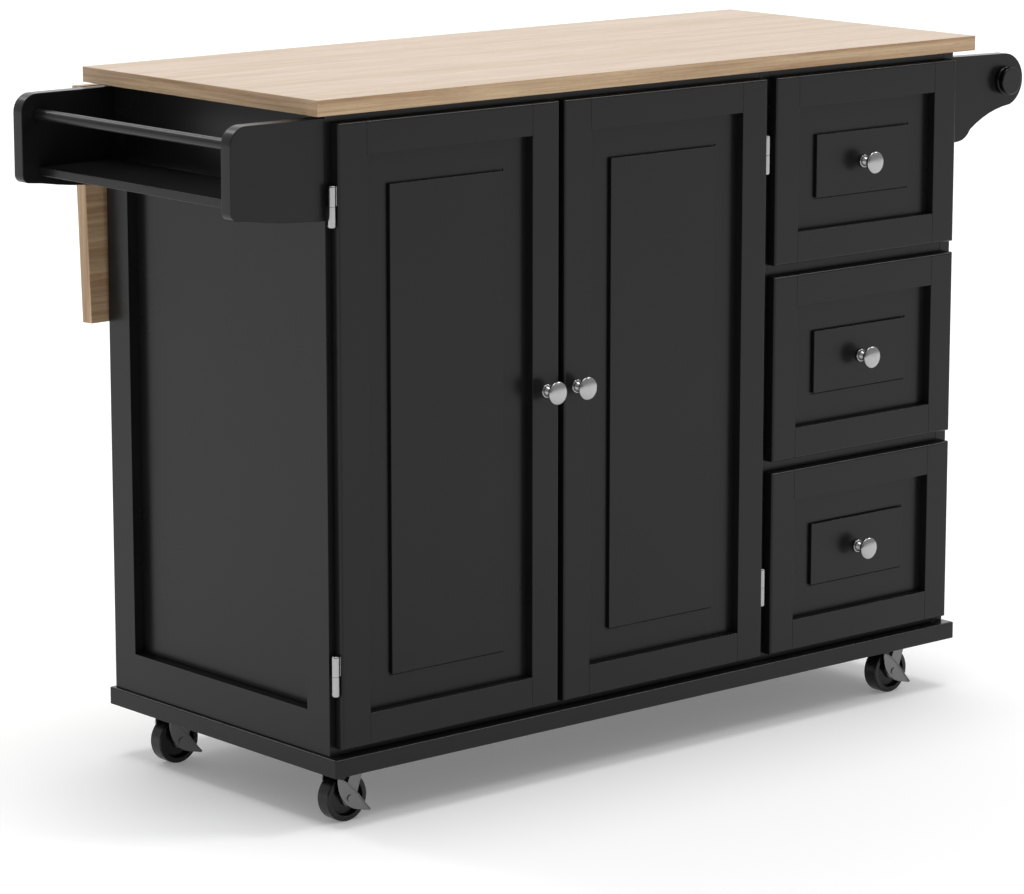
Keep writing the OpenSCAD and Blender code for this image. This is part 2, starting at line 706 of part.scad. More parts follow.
module rack_brackets() color(black_paint) {
  t = rack_bracket_t;
  difference() {
    union() {
      upright(body_y0, body_y0 + t) rack_outline();
      upright(body_y1 - t, body_y1) rack_outline();
    }
    translate([bar_x, body_y0 + t - bar_seat, bar_z]) rotate([-90, 0, 0])
      cylinder(h = body_d - 2 * t + 2 * bar_seat, r = bar_d / 2 + pin_play);
  }
}

module towel_bar() color(black_paint)
  translate([bar_x, body_y0 + rack_bracket_t - bar_seat + 0.5, bar_z]) rotate([-90, 0, 0])
    cylinder(h = body_d - 2 * rack_bracket_t + 2 * bar_seat - 1, r = bar_d / 2);

module rack_shelf() color(black_paint)
  block([bar_x, body_y0 + rack_bracket_t, rack_shelf_z1 - rack_shelf_t],
        [body_x0, body_y1 - rack_bracket_t, rack_shelf_z1]);

/* Paper towel holder */
// Seen from the front, with the carcass at its left and an S-curve under the round nose
module arm_outline() {
  z0 = arm_z1 - arm_h;
  foot = [body_x1, z0];
  turn = [body_x1 + 37, z0 + 16];
  under = arc([rod_x, rod_z], nose_r, -70, 84, 14);
  polygon(concat([[body_x1, arm_z1]], [foot], bow([body_x1 + 14, z0 + 1], turn, -3.5, 4),
    bow(turn, under[0], 5.5, 6), under));
}

module holder_front_arm() color(black_paint) difference() {
  upright(body_y0, body_y0 + arm_t) arm_outline();
  translate([rod_x, body_y0 - 1, rod_z]) rotate([-90, 0, 0])
    cylinder(h = arm_t + 2, r = rod_d / 2 + pin_play);
}

module holder_back_arm() color(black_paint) difference() {
  upright(back_arm_y, back_arm_y + arm_t) arm_outline();
  translate([rod_x, back_arm_y - 1, rod_z]) rotate([-90, 0, 0])
    cylinder(h = rod_seat + 1, r = rod_d / 2 + pin_play);
}

// The rod with its glossy collar and end cap, which pulls out to the front
module towel_rod() color(dark_plastic)
  translate([rod_x, body_y0, rod_z]) rotate([90, 0, 0]) rotate_extrude() polygon(concat(
    [[0, -arm_t - arm_space - rod_seat + 1], [rod_d / 2, -arm_t - arm_space - rod_seat + 1],
     [rod_d / 2, face_play], [cap_d / 2 + 0.6, face_play]],
    arc([cap_d / 2 - 1.4, cap_l * 0.45 - 2], 2, 0, 90, 4),
    [[cap_d / 2 - 3, cap_l * 0.45 + 0.6]],
    arc([cap_d / 2 - 2, cap_l * 0.45 + 2.6], 2, -90, 0, 4),
    arc([cap_d / 2 - 1.6, cap_l - 1.6], 1.6, 0, 90, 4), [[0, cap_l]]));

/* Doors */
module door_frame(x0) color(black_paint)
  front_frame(x0, x0 + door_w, front_z0, front_z1, door_stile_w, door_rail_h);
module door_panel(x0) color(black_paint)
  front_panel(x0, x0 + door_w, front_z0, front_z1, door_stile_w, door_rail_h);

module door_frame_left() door_frame(door1_x0);
module door_panel_left() door_panel(door1_x0);
module door_knob_left() color(nickel) knob(door1_x1 - door_knob_inset, front_y, door_knob_z);
module door_frame_right() door_frame(door2_x0);
module door_panel_right() door_panel(door2_x0);
module door_knob_right() color(nickel) knob(door2_x0 + door_knob_inset, front_y, door_knob_z);

/* Drawers, counted from the lowest */
module drawer_front(i) color(black_paint) {
  z = drawer_z(i);
  w = drawer_stile_w;
  front_frame(drawer_x0, drawer_x1, z, z + drawer_h, w, w);
  front_panel(drawer_x0, drawer_x1, z, z + drawer_h, w, w);
}

// An open box with a bottom, and a strip on each side that runs in the channels
module drawer_box(i) color(black_paint) {
  z0 = drawer_z(i) + drawer_box_rise;
  z1 = z0 + drawer_box_h;
  y1 = door_y1 + drawer_box_l;
  t = drawer_wall_t;
  strip_z = z0 + runner_rise + runner_h / 2;
  strip_h = runner_h - 16 - 2 * face_play;
  difference() {
    union() {
      block([box_x0, door_y1, z0], [box_x1, y1, z1]);
      for (s = [-1, 1]) translate([s > 0 ? box_x1 - 1 : box_x0 + 1, 0, strip_z])
        block([s > 0 ? 0 : -runner_gap + 1.2, door_y1 + 40, -strip_h / 2],
              [s > 0 ? runner_gap - 1.2 : 0, y1 - 2, strip_h / 2]);
    }
    block([box_x0 + t, door_y1 + t, z0 + drawer_bottom_t], [box_x1 - t, y1 - t, z1 + 1]);
  }
}

module drawer_knob(i) color(nickel)
  knob((drawer_x0 + drawer_x1) / 2, field_y, drawer_z(i) + drawer_h / 2);

module drawer_front_lower() drawer_front(0);
module drawer_box_lower() drawer_box(0);
module drawer_knob_lower() drawer_knob(0);
module drawer_front_middle() drawer_front(1);
module drawer_box_middle() drawer_box(1);
module drawer_knob_middle() drawer_knob(1);
module drawer_front_upper() drawer_front(2);
module drawer_box_upper() drawer_box(2);
module drawer_knob_upper() drawer_knob(2);

/* Casters */
// Mounting plates with their ball races and king pins
module caster_plates() color(zinc) for (x = caster_x, y = caster_y) translate([x, y, 0]) union() {
  block([-plate_side / 2, -plate_side / 2, plate_z0], [plate_side / 2, plate_side / 2, board_z0]);
  rotate_extrude() polygon([[0, race_z0], [15, race_z0], [18, race_z0 + 2.5], [14, plate_z0 + 1],
    [0, plate_z0 + 1]]);
  translate([0, 0, crown_z0 - 3]) cylinder(h = race_z0 - crown_z0 + 4, r = king_pin_d / 2);
  translate([0, 0, crown_z0 - 2.6]) cylinder(h = 2.6 - face_play, r = king_pin_d / 2 + 2);
}

// One cheek of the fork, drawn in X and Z about the axle
module fork_outline() {
  top = crown_z1 - axle_z;
  polygon(concat(
    arc([0, 0], 10.5, 200, 345, 8),
    [[14, 8], [20.6, 27], [caster_trail + 8, top], [9, top], [9, top - 5], [2, 29], [-9.8, 3]]));
}

// Fork with its crown, its axle and the axle's two heads
module fork(x, y) color(zinc) translate([x, y, 0]) {
  difference() {
    union() {
      for (s = [-1, 1]) translate([-caster_trail, 0, axle_z])
        upright(s > 0 ? fork_inner : -fork_outer, s > 0 ? fork_outer : -fork_inner)
          fork_outline();
      translate([0, 0, crown_z0]) cylinder(h = fork_t, r = 17);
      block([9 - caster_trail, -fork_outer, crown_z0], [8, fork_outer, crown_z1]);
    }
    translate([0, 0, crown_z0 - 1]) cylinder(h = fork_t + 2, r = king_pin_d / 2 + pin_play);
    translate([-caster_trail, -fork_outer - 1, axle_z]) rotate([-90, 0, 0])
      cylinder(h = 2 * fork_outer + 2, r = axle_d / 2 + pin_play);
  }
  translate([-caster_trail, 0, axle_z]) rotate([-90, 0, 0]) {
    l = lever_outer + face_play;
    union() {
      translate([0, 0, -l - 1]) cylinder(h = 2 * l + 2, r = axle_d / 2);
      for (s = [-1, 1]) translate([0, 0, s > 0 ? l : -l - 1.2]) cylinder(h = 1.2, r = axle_d / 2 + 1.5);
    }
  }
}

// A solid wheel: rounded tread, a groove in each face inside the tread, and a hub
module wheel(x, y) color(dark_plastic) translate([x - caster_trail, y, axle_z]) rotate([90, 0, 0])
  rotate_extrude($fn = 96) {
    r = wheel_d / 2;
    w = wheel_w / 2;
    bore = axle_d / 2 + pin_play;
    half = concat(
      arc([r - 2.4, w - 2.4], 2.4, 0, 90, 5), [[r - 7, w]],
      bow([r - 8, w - 1.2], [r - 8.5, w - 4.5], 0.8, 3),
      [[r - 9, w - 5], [11, w - 3.2], [9.5, w], [bore, w]]);
    mirrored = [for (i = [len(half) - 1:-1:0]) [half[i][0], -half[i][1]]];
    polygon(concat(half, mirrored));
  }

// A stamped cheek with a pointed toe tab, drawn in X and Z about the axle
module lever_outline() {
  polygon(concat(
    arc([21.7, 22.8], 40.55, 172.6, 257, 10),
    [[31.2, -21.4], [33.3, -20], [24, -8.3]],
    bow([20, -5.8], [-13.3, 27], 3.5, 7), [[-13.3, 27]]));
}

// Two cheeks, joined by the toe plate in front of the tread
module brake(x, y) color(zinc) translate([x - caster_trail, y, axle_z]) difference() {
  union() {
    for (s = [-1, 1])
      upright(s > 0 ? lever_inner : -lever_outer, s > 0 ? lever_outer : -lever_inner)
        lever_outline();
    upright(-lever_outer, lever_outer)
      polygon([[29.6, -15.5], [33.3, -20], [31.2, -21.4], [30.2, -21.1], [31.4, -19.4], [28.5, -15.8]]);
  }
  translate([0, -lever_outer - 1, 0]) rotate([-90, 0, 0])
    cylinder(h = 2 * lever_outer + 2, r = axle_d / 2 + pin_play);
}

module fork_front_left() fork(caster_x[0], caster_y[0]);
module wheel_front_left() wheel(caster_x[0], caster_y[0]);
module brake_front_left() brake(caster_x[0], caster_y[0]);
module fork_front_right() fork(caster_x[1], caster_y[0]);
module wheel_front_right() wheel(caster_x[1], caster_y[0]);
module brake_front_right() brake(caster_x[1], caster_y[0]);
module fork_back_left() fork(caster_x[0], caster_y[1]);
module wheel_back_left() wheel(caster_x[0], caster_y[1]);
module brake_back_left() brake(caster_x[0], caster_y[1]);
module fork_back_right() fork(caster_x[1], caster_y[1]);
module wheel_back_right() wheel(caster_x[1], caster_y[1]);
module brake_back_right() brake(caster_x[1], caster_y[1]);

worktop();
side_frame_left();
side_frame_right();
side_panels();
face_frame();
back_frame();
back_panel();
cabinet_floor();
base_board();
base_moulding();
divider();
cupboard_shelf();
shelf_pins();
drawer_runners();
door_hinge_plates();
leaf_hinge_plates();
prop_brackets();
rack_brackets();
rack_shelf();
towel_bar();
holder_front_arm();
holder_back_arm();
caster_plates();
door_frame_left();
door_panel_left();
door_knob_left();
door_hinges_left();
door_frame_right();
door_panel_right();
door_knob_right();
door_hinges_right();
drawer_front_lower();
drawer_box_lower();
drawer_knob_lower();
drawer_front_middle();
drawer_box_middle();
drawer_knob_middle();
drawer_front_upper();
drawer_box_upper();
drawer_knob_upper();
drop_leaf();
leaf_hinges();
leaf_stops();
prop_left();
prop_right();
towel_rod();
fork_front_left();
wheel_front_left();
brake_front_left();
fork_front_right();
wheel_front_right();
brake_front_right();
fork_back_left();
wheel_back_left();
brake_back_left();
fork_back_right();
wheel_back_right();
brake_back_right();
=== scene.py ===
"""The looks of a drop leaf kitchen island: a black painted cabinet under an oak laminate worktop,
with satin nickel knobs and hinges and four braked casters. Lengths are in metres."""
import json
import math

import bmesh
import bpy
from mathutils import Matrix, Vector

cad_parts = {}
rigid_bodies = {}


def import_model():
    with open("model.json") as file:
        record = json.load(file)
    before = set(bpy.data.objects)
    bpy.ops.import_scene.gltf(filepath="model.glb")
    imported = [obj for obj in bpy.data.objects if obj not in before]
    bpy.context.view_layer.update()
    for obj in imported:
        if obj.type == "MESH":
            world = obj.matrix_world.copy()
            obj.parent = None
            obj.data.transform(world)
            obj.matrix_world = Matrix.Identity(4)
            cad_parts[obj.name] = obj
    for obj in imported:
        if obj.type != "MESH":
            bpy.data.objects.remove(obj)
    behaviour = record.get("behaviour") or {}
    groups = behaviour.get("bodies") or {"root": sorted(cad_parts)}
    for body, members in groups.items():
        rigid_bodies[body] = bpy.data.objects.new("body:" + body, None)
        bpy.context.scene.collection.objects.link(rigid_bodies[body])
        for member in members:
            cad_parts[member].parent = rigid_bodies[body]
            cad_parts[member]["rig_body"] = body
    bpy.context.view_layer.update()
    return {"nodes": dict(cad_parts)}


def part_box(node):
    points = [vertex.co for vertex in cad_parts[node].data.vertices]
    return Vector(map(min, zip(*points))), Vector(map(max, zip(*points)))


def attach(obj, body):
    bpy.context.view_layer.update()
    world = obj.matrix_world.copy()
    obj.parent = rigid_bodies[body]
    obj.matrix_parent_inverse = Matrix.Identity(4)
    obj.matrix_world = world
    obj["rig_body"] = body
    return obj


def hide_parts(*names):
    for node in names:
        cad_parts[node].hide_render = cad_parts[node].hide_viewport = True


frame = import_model()

MM = 0.001
PHOTO_WIDTH = 1024
SENSOR_WIDTH = 36

# The camera of the photograph: where it stands, which way it looks and how long its lens is
CAMERA_PLACE = (-3.675, -4.211, 1.518)
CAMERA_TURN = 40.69
CAMERA_DIP = 11.52
CAMERA_FOCUS_PX = 4225

# How wide an eased edge is on sawn and sprayed board, at the glued joints of stiles and rails, on
# the sunk panels, on sheet steel and on cast pieces
BOARD_EASE = 0.9 * MM
JOINT_EASE = 0.6 * MM
PANEL_EASE = 0.4 * MM
STEEL_EASE = 0.3 * MM
CAST_EASE = 0.5 * MM

# Points closer than this are one. Faces that meet at less than FLAT are one face, an outer edge
# sharper than EASED gets rounded, and an edge sharper than CREASE isn't shaded smooth
SAME_POINT = 0.01 * MM
FLAT = math.radians(0.5)
EASED = math.radians(32)
CREASE = math.radians(50)

# The framed fronts: widths of stiles and rails, how deep the panel is sunk, the border and the
# rise of its raised field, the groove round that field, and the rounding of the front's rim
DOOR_STILE = 44.5 * MM
DOOR_RAIL = 41 * MM
DRAWER_STILE = 42 * MM
PANEL_RECESS = 12 * MM
FIELD_BORDER = 41 * MM
FIELD_RISE = 4.5 * MM
QUIRK = 2 * MM
QUIRK_DEPTH = 1.5 * MM
FRONT_ROUND = 3 * MM

# A knob's outline from the middle of its foot to the middle of its cap, each point with its radius
# and height as shares of the knob's own, and how many flats it is turned in
KNOB_FLATS = 64
KNOB_OUTLINE = (
    (0, 0), (0.57, 0), (0.583, 0.02), (0.583, 0.06), (0.56, 0.09), (0.52, 0.1), (0.49, 0.105),
    (0.48, 0.13), (0.44, 0.19), (0.38, 0.25), (0.32, 0.30), (0.28, 0.36), (0.265, 0.43),
    (0.28, 0.50), (0.36, 0.56), (0.52, 0.62), (0.70, 0.67), (0.86, 0.715), (0.94, 0.745),
    (0.98, 0.775), (1, 0.81), (0.995, 0.845), (0.965, 0.88), (0.91, 0.905), (0.80, 0.935),
    (0.66, 0.96), (0.50, 0.98), (0.30, 0.993), (0.12, 0.999), (0, 1))

# A brake lever in mm about its axle, in X and Z: how far it reaches to the left and down, its upper
# edge from the tip to the toe, its lower curve's middle, radius and turns, its toe, the toe plate
# and the radius of its bore
LEVER_REACH = (18.85, 21.4)
LEVER_TOP = [(-13.3, 27), (-8.6, 24.2), (-2.8, 19.8), (3.1, 14.7), (9, 8.9), (14.4, 2.7),
             (19, -3.4), (24.6, -10.3), (32.6, -19.2)]
LEVER_CURVE = (21.7, 22.8, 40.55)
LEVER_TURNS = range(173, 258, 7)
LEVER_TOE = [(31.2, -21.4), (33.3, -20)]
TOE_OUTLINE = [(29.6, -15.5), (33.3, -20), (31.2, -21.4), (30.2, -21.1), (31.4, -19.4),
               (28.5, -15.8)]
LEVER_BORE = 3.2
BORE_TURNS = range(0, 360, 15)

# The lever's sheet, and the lip along its upper edge, whose width is in mm
LEVER_SHEET = 1.6 * MM
LIP_WIDTH = 0.9
LIP_RISE = 1.0 * MM

ROWS = ("lower", "middle", "upper")
CORNERS = ("front_left", "front_right", "back_left", "back_right")

# Directions in the studio: to the bright wall behind the island, to the dark end of the room
# before it, and to the three lights
BRIGHT_WALL = (0.35, 0.94, 0)
DARK_END = (-0.65, -0.76, 0)
OVERHEAD = (0, 0, 1)
BACK_LEFT = (-0.1, 0.74, 0.66)
FRONT_RIGHT = (0.64, -0.38, 0.67)


# ---------------------------------------------------------------- shape helpers

def as_piece(name, bm, finish, body, replaced=()):
    """Makes an object of a bmesh, in its finish, riding on a body and standing for CAD nodes."""
    for edge in bm.edges:
        edge.smooth = edge.calc_face_angle(0) < CREASE
    mesh = bpy.data.meshes.new(name)
    bm.to_mesh(mesh)
    bm.free()
    mesh.materials.append(finish)
    mesh.polygons.foreach_set("use_smooth", [True] * len(mesh.polygons))
    piece = bpy.data.objects.new(name, mesh)
    bpy.context.scene.collection.objects.link(piece)
    flats = piece.modifiers.new("flat faces stay flat", "WEIGHTED_NORMAL")
    flats.weight = 80
    flats.keep_sharp = True
    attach(piece, body)
    if replaced:
        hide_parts(*replaced)
    return piece


def ease_edges(bm, width, segments=2):
    """Rounds every outer edge that is sharper than a smooth curve's facets."""
    sharp = [edge for edge in bm.edges if edge.is_convex and edge.calc_face_angle(0) > EASED]
    bmesh.ops.bevel(bm, geom=sharp, offset=width, segments=segments, profile=0.5,
                    affect="EDGES", clamp_overlap=True, material=-1)


def whole_faces(node):
    """A bmesh of a CAD node with its loose triangles joined into whole faces."""
    bm = bmesh.new()
    bm.from_mesh(frame["nodes"][node].data)
    bmesh.ops.remove_doubles(bm, verts=bm.verts, dist=SAME_POINT)
    bmesh.ops.dissolve_limit(bm, angle_limit=FLAT, verts=bm.verts, edges=bm.edges)
    return bm


def dress(node, finish, ease):
    """Stands a copy of a CAD node with eased edges in its place."""
    bm = whole_faces(node)
    ease_edges(bm, ease)
    body = frame["nodes"][node]["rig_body"]
    return as_piece(node + "_finished", bm, finish, body, [node])


def block(low, high):
    """A bmesh box between two opposite corners."""
    low, high = Vector(low), Vector(high)
    bm = bmesh.new()
    bmesh.ops.create_cube(bm, size=1)
    bmesh.ops.scale(bm, vec=high - low, verts=bm.verts)
    bmesh.ops.translate(bm, vec=(low + high) / 2, verts=bm.verts)
    return bm


def joined(parts):
    """One bmesh of several."""
    whole = bmesh.new()
    for bm in parts:
        part = bpy.data.meshes.new("part")
        bm.to_mesh(part)
        bm.free()
        whole.from_mesh(part)
        bpy.data.meshes.remove(part)
    return whole


def frame_board(low, high, front_low, front_high):
    """A stile or rail of a front. Its front edges are rounded where they are the front's own."""
    bm = block(low, high)
    outer = [edge for edge in bm.edges
             if all(abs(v.co.y - low[1]) < SAME_POINT for v in edge.verts)
             and any(all(abs(v.co[axis] - rim[axis]) < SAME_POINT for v in edge.verts)
                     for axis in (0, 2) for rim in (front_low, front_high))]
    bmesh.ops.bevel(bm, geom=outer, offset=FRONT_ROUND, segments=5, profile=0.5,
                    affect="EDGES", clamp_overlap=True, material=-1)
    ease_edges(bm, JOINT_EASE)
    return bm


def front_boards(low, high, stile, rail):
    """Two stiles with two rails between them. Each board has its own eased edges, so the glued
    joints show as fine lines through the paint."""
    inner_low, inner_high = low.x + stile, high.x - stile
    spans = [((low.x, low.y, low.z), (inner_low, high.y, high.z)),
             ((inner_high, low.y, low.z), (high.x, high.y, high.z)),
             ((inner_low, low.y, low.z), (inner_high, high.y, low.z + rail)),
             ((inner_low, low.y, high.z - rail), (inner_high, high.y, high.z))]
    return [frame_board(a, b, low, high) for a, b in spans]


def raised_panel(low, high, stile, rail):
    """The sunk panel in a front, with its raised field and the fine groove round it."""
    bm = block((low.x + stile, low.y + PANEL_RECESS, low.z + rail),
               (high.x - stile, high.y, high.z - rail))
    bm.faces.ensure_lookup_table()
    face = min(bm.faces, key=lambda each: each.calc_center_median().y)
    for border, rise in ((FIELD_BORDER - QUIRK, -QUIRK_DEPTH), (QUIRK, FIELD_RISE + QUIRK_DEPTH)):
        bmesh.ops.inset_region(bm, faces=[face], thickness=border, use_even_offset=True)
        face = bmesh.ops.extrude_discrete_faces(bm, faces=[face])["faces"][0]
        bmesh.ops.translate(bm, vec=(0, -rise, 0), verts=face.verts)
    bmesh.ops.remove_doubles(bm, verts=bm.verts, dist=SAME_POINT)
    ease_edges(bm, PANEL_EASE)
    return bm


def turned_knob(node):
    """A turned knob in the place of its CAD node: a lipped foot, a waist and a low-domed cap."""
    low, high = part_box(node)
    reach, radius = high.y - low.y, (high.x - low.x) / 2
    bm = bmesh.new()
    outline = [bm.verts.new((radius * r, -reach * h, 0)) for r, h in KNOB_OUTLINE]
    turned = [bm.edges.new(pair) for pair in zip(outline, outline[1:])]
    bmesh.ops.spin(bm, geom=outline + turned, cent=(0, 0, 0), axis=(0, 1, 0),
                   angle=math.radians(360), steps=KNOB_FLATS)
    bmesh.ops.remove_doubles(bm, verts=bm.verts, dist=SAME_POINT)
    bmesh.ops.recalc_face_normals(bm, faces=bm.faces)
    centre = ((low.x + high.x) / 2, high.y, (low.z + high.z) / 2)
    bmesh.ops.translate(bm, vec=centre, verts=bm.verts)
    body = frame["nodes"][node]["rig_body"]
    return as_piece(node + "_turned", bm, SATIN_NICKEL, body, [node])


def arc(centre_x, centre_z, radius, turns):
    """Points on a circle in X and Z at these turns, in degrees from X."""
    return [(centre_x + radius * math.cos(math.radians(turn)),
             centre_z + radius * math.sin(math.radians(turn))) for turn in turns]


def plate(near, far, *outlines):
    """A plate with eased edges between two depths; its outline and any bore are in mm, X and Z."""
    bm = bmesh.new()
    for outline in outlines:
        ring = [bm.verts.new((x * MM, near, z * MM)) for x, z in outline]
        for i in range(len(ring)):
            bm.edges.new((ring[i - 1], ring[i]))
    bmesh.ops.triangle_fill(bm, use_beauty=True, use_dissolve=False, edges=bm.edges)
    for part in bmesh.ops.extrude_face_region(bm, geom=bm.faces[:])["geom"]:
        if isinstance(part, bmesh.types.BMVert):
            part.co.y = far
    bmesh.ops.recalc_face_normals(bm, faces=bm.faces)
    ease_edges(bm, STEEL_EASE)
    return bm


def pressed_lever(corner):
    """A brake lever: two pointed cheeks with a stiffening lip, joined by the toe plate."""
    node = f"brake_{corner}"
    low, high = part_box(node)
    axle = Vector((low.x + LEVER_REACH[0] * MM, (low.y + high.y) / 2, low.z + LEVER_REACH[1] * MM))
    half = (high.y - low.y) / 2
    lip = LEVER_TOP + [(x - LIP_WIDTH, z - LIP_WIDTH) for x, z in reversed(LEVER_TOP)]
    cheek = arc(*LEVER_CURVE, LEVER_TURNS) + LEVER_TOE + LEVER_TOP[::-1]
    bore = arc(0, 0, LEVER_BORE, BORE_TURNS)
    parts = [plate(LEVER_SHEET - half, half - LEVER_SHEET, TOE_OUTLINE)]
    for side in (-1, 1):
        inner, outer, rim = (side * (half - d) for d in (LEVER_SHEET, 0, -LIP_RISE))
        parts.append(plate(inner, outer, cheek, bore))
        parts.append(plate(outer - side * STEEL_EASE, rim, lip))
    bm = joined(parts)
    bmesh.ops.translate(bm, vec=axle, verts=bm.verts)
    body = frame["nodes"][node]["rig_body"]
    return as_piece(node + "_pressed", bm, ZINC_STEEL, body, [node])


# ---------------------------------------------------------------- material helpers

def linear(hex_colour):
    """The linear colour of an sRGB hex value."""
    channels = [int(hex_colour[i:i + 2], 16) / 255 for i in (1, 3, 5)]
    return (*[c / 12.92 if c <= 0.04045 else ((c + 0.055) / 1.055) ** 2.4 for c in channels], 1)


def start_material(name, **shader):
    """A material whose shader has these settings; a colour is given as a hex value."""
    material = bpy.data.materials.new(name)
    material.use_nodes = True
    surface = material.node_tree.nodes["Principled BSDF"]
    for socket, value in shader.items():
        socket = socket.replace("_", " ").title().replace("Ior", "IOR")
        surface.inputs[socket].default_value = linear(value) if isinstance(value, str) else value
    return material, material.node_tree, surface


def add(tree, kind, settings, links=()):
    """Adds a node with its settings, on properties or on sockets, and the links into it."""
    node = tree.nodes.new(kind)
    for name, value in settings.items():
        if isinstance(name, str) and hasattr(node, name):
            setattr(node, name, value)
        else:
            node.inputs[name].default_value = value
    for socket, source in dict(links).items():
        tree.links.new(source, node.inputs[socket])
    return node


# ---------------------------------------------------------------- finishes

def oak_laminate(name, end_run, face, edge_tan_and_shade, face_axis):
    """Oak decor laminate on particle board, pressed matt: straight fine grain along the board,
    wider pale bands and short dark pores. The edges and the back, all faces that don't face along
    face_axis, get a deeper tan than the face: partly the glued edge band's own tone, partly painted
    shade for the sides and back that lie in less light. On the board's ends the grain runs along
    the edge, turned by end_run."""
    material, tree, surface = start_material(name, roughness=0.52)
    place = add(tree, "ShaderNodeTexCoord", {})
    facing = add(tree, "ShaderNodeSeparateXYZ", {}, {0: place.outputs["Normal"]})
    lean = add(tree, "ShaderNodeMath", {"operation": "ABSOLUTE"}, {0: facing.outputs[0]})
    is_end = add(tree, "ShaderNodeMath", {"operation": "GREATER_THAN", 1: 0.7},
                 {0: lean.outputs[0]})
    turned = add(tree, "ShaderNodeMapping", {"Rotation": end_run}, {0: place.outputs["Object"]})
    along = add(tree, "ShaderNodeMix", {"data_type": "VECTOR"},
                {0: is_end.outputs[0], 4: place.outputs["Object"], 5: turned.outputs[0]})

    def grain(length_mm, width_mm, detail, distortion=0.0):
        """Streaks of about this length and width."""
        stretch = add(tree, "ShaderNodeMapping",
                      {"Scale": (1000 / length_mm, 1000 / width_mm, 1000 / width_mm)},
                      {0: along.outputs[1]})
        return add(tree, "ShaderNodeTexNoise", {"Scale": 1, "Detail": detail,
                   "Roughness": 0.6, "Distortion": distortion}, {0: stretch.outputs[0]})

    bands = grain(700, 38, 4, 0.8)
    stripes = grain(420, 8, 2, 0.3)
    fibres = grain(90, 2.4, 3)
    pores = grain(16, 1.3, 2)
    decors = []
    for figure, (dark, light) in ((bands, face), (stripes, edge_tan_and_shade)):
        spread = add(tree, "ShaderNodeMapRange", {1: 0.34, 2: 0.66}, {0: figure.outputs[0]})
        decors.append(add(tree, "ShaderNodeMix", {"data_type": "RGBA", 6: linear(dark),
                          7: linear(light)}, {0: spread.outputs[0]}))
    # Painted shade in part: every face that doesn't face along face_axis, edges and back alike,
    # takes the deeper tan, which is partly the edge band's tone and partly shade painted in
    edge_and_shade_mask = add(tree, "ShaderNodeMath", {"operation": "LESS_THAN", 1: 0.7},
                  {0: facing.outputs[face_axis]})
    colour = add(tree, "ShaderNodeMix", {"data_type": "RGBA"},
                 {0: edge_and_shade_mask.outputs[0], 6: decors[0].outputs[2], 7: decors[1].outputs[2]})
    streaks = add(tree, "ShaderNodeMapRange", {1: 0.32, 2: 0.68, 3: 0.86, 4: 1.06},
                  {0: fibres.outputs[0]})
    dashes = add(tree, "ShaderNodeMapRange", {1: 0.30, 2: 0.42, 3: 0.80, 4: 1.0},
                 {0: pores.outputs[0]})
    shade = add(tree, "ShaderNodeMath", {"operation": "MULTIPLY"},
                {0: streaks.outputs[0], 1: dashes.outputs[0]})
    tone = add(tree, "ShaderNodeVectorMath", {"operation": "SCALE"},
               {0: colour.outputs[2], "Scale": shade.outputs[0]})
    tree.links.new(tone.outputs[0], surface.inputs["Base Color"])
    gloss = add(tree, "ShaderNodeMapRange", {3: 0.60, 4: 0.46}, {0: fibres.outputs[0]})
    tree.links.new(gloss.outputs[0], surface.inputs["Roughness"])
    bump = add(tree, "ShaderNodeBump", {"Strength": 0.35, "Distance": 0.05 * MM},
               {"Height": shade.outputs[0]})
    tree.links.new(bump.outputs[0], surface.inputs["Normal"])
    return material


def sprayed_paint(name, colour, roughness, peel_mm=1.6, depth_mm=0.012):
    """Satin lacquer sprayed on board: an even near-black with broad soft reflections, which a
    faint orange peel and slow changes in sheen keep from looking like plastic."""
    material, tree, surface = start_material(name, roughness=roughness, ior=1.32)
    place = add(tree, "ShaderNodeTexCoord", {})
    drift = add(tree, "ShaderNodeTexNoise", {"Scale": 9, "Detail": 3}, {0: place.outputs["Object"]})
    tone = add(tree, "ShaderNodeValToRGB", {}, {0: drift.outputs[0]})
    tone.color_ramp.elements[0].position = 0.3
    tone.color_ramp.elements[0].color = linear(colour[0])
    tone.color_ramp.elements[1].position = 0.7
    tone.color_ramp.elements[1].color = linear(colour[1])
    tree.links.new(tone.outputs[0], surface.inputs["Base Color"])
    sheen = add(tree, "ShaderNodeMapRange", {3: roughness - 0.04, 4: roughness + 0.05},
                {0: drift.outputs[0]})
    tree.links.new(sheen.outputs[0], surface.inputs["Roughness"])
    peel = add(tree, "ShaderNodeTexNoise", {"Scale": 1000 / peel_mm, "Detail": 2},
               {0: place.outputs["Object"]})
    bump = add(tree, "ShaderNodeBump", {"Strength": 0.5, "Distance": depth_mm * MM},
               {"Height": peel.outputs[0]})
    tree.links.new(bump.outputs[0], surface.inputs["Normal"])
    return material


def satin_metal(name, colour, roughness, scratch_mm, stretch):
    """Plated or bare metal with a fine directional grain that widens its highlights."""
    material, tree, surface = start_material(name, base_color=colour, metallic=1.0)
    place = add(tree, "ShaderNodeTexCoord", {})
    drawn = add(tree, "ShaderNodeMapping", {"Scale": stretch}, {0: place.outputs["Object"]})
    grain = add(tree, "ShaderNodeTexNoise", {"Scale": 1000 / scratch_mm, "Detail": 3},
                {0: drawn.outputs[0]})
    gloss = add(tree, "ShaderNodeMapRange", {3: roughness - 0.06, 4: roughness + 0.08},
                {0: grain.outputs[0]})
    tree.links.new(gloss.outputs[0], surface.inputs["Roughness"])
    bump = add(tree, "ShaderNodeBump", {"Strength": 0.25, "Distance": 0.01 * MM},
               {"Height": grain.outputs[0]})
    tree.links.new(bump.outputs[0], surface.inputs["Normal"])
    return material


